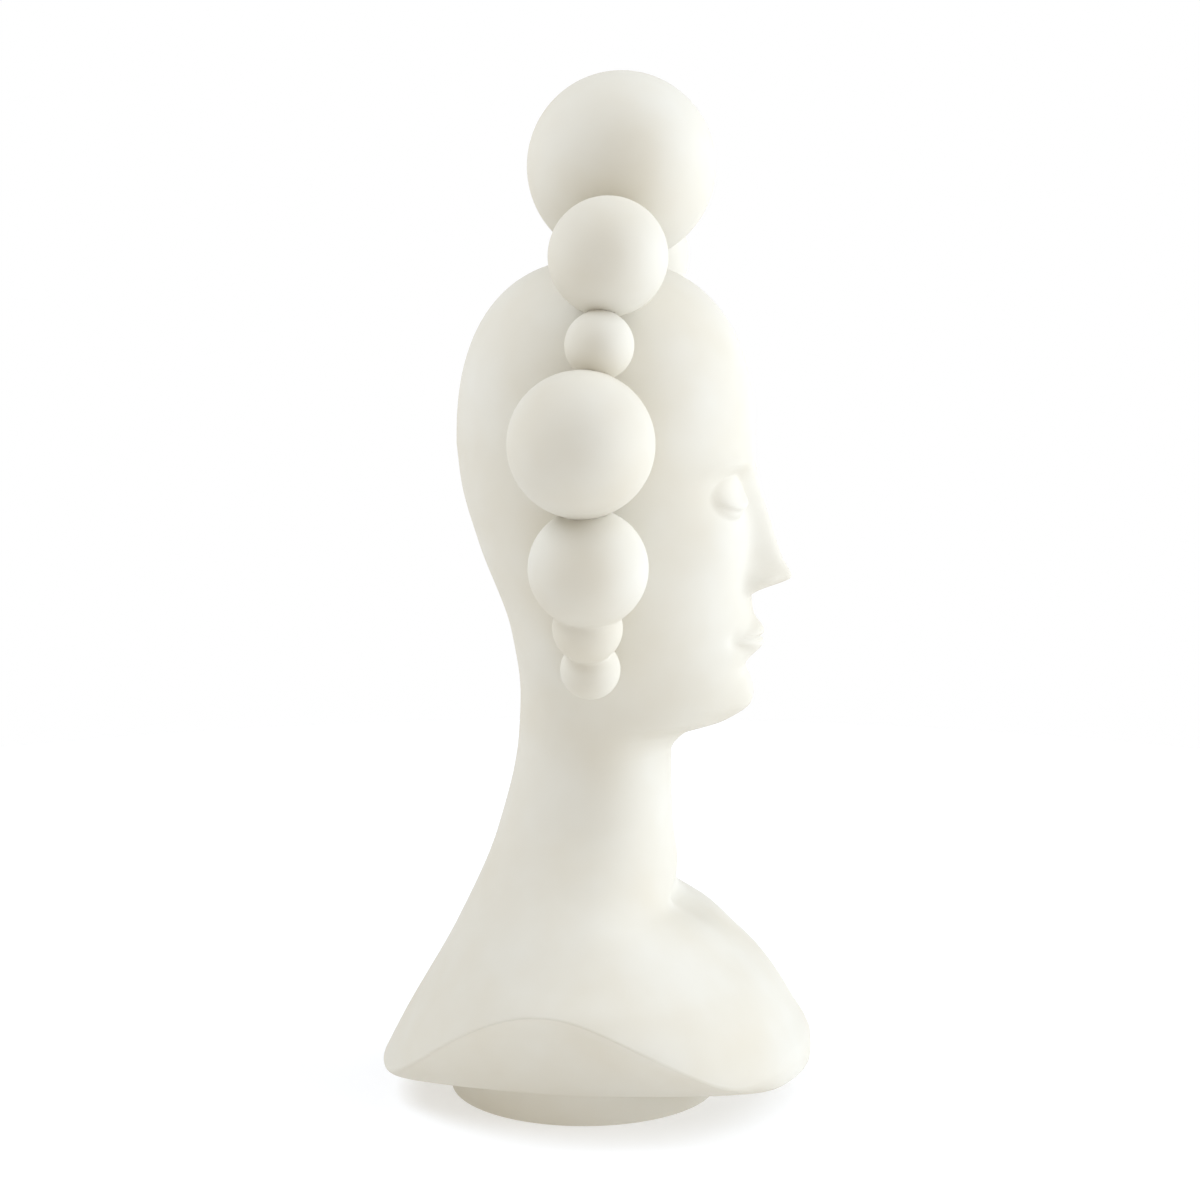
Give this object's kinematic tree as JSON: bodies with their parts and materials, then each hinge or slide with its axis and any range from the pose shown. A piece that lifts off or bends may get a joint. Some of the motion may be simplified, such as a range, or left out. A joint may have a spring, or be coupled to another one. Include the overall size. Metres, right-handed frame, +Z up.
{
  "type": "bust",
  "caption": "Bisque porcelain bust with a long calm head, slender neck, arched shoulder cuts, round foot and a headdress of balls over the crown and down both cheeks.",
  "frame": {"origin": "centre of the round foot's flat underside", "axes": "+Z up; the figure faces -Y and its right side is towards -X"},
  "size_m": [0.1882, 0.1712, 0.4],
  "materials": {
    "bisque": "matte, unglazed, very fine grain, warm white"
  },
  "bodies": {
    "root": {"bust": "bisque"}
  },
  "joints": []
}
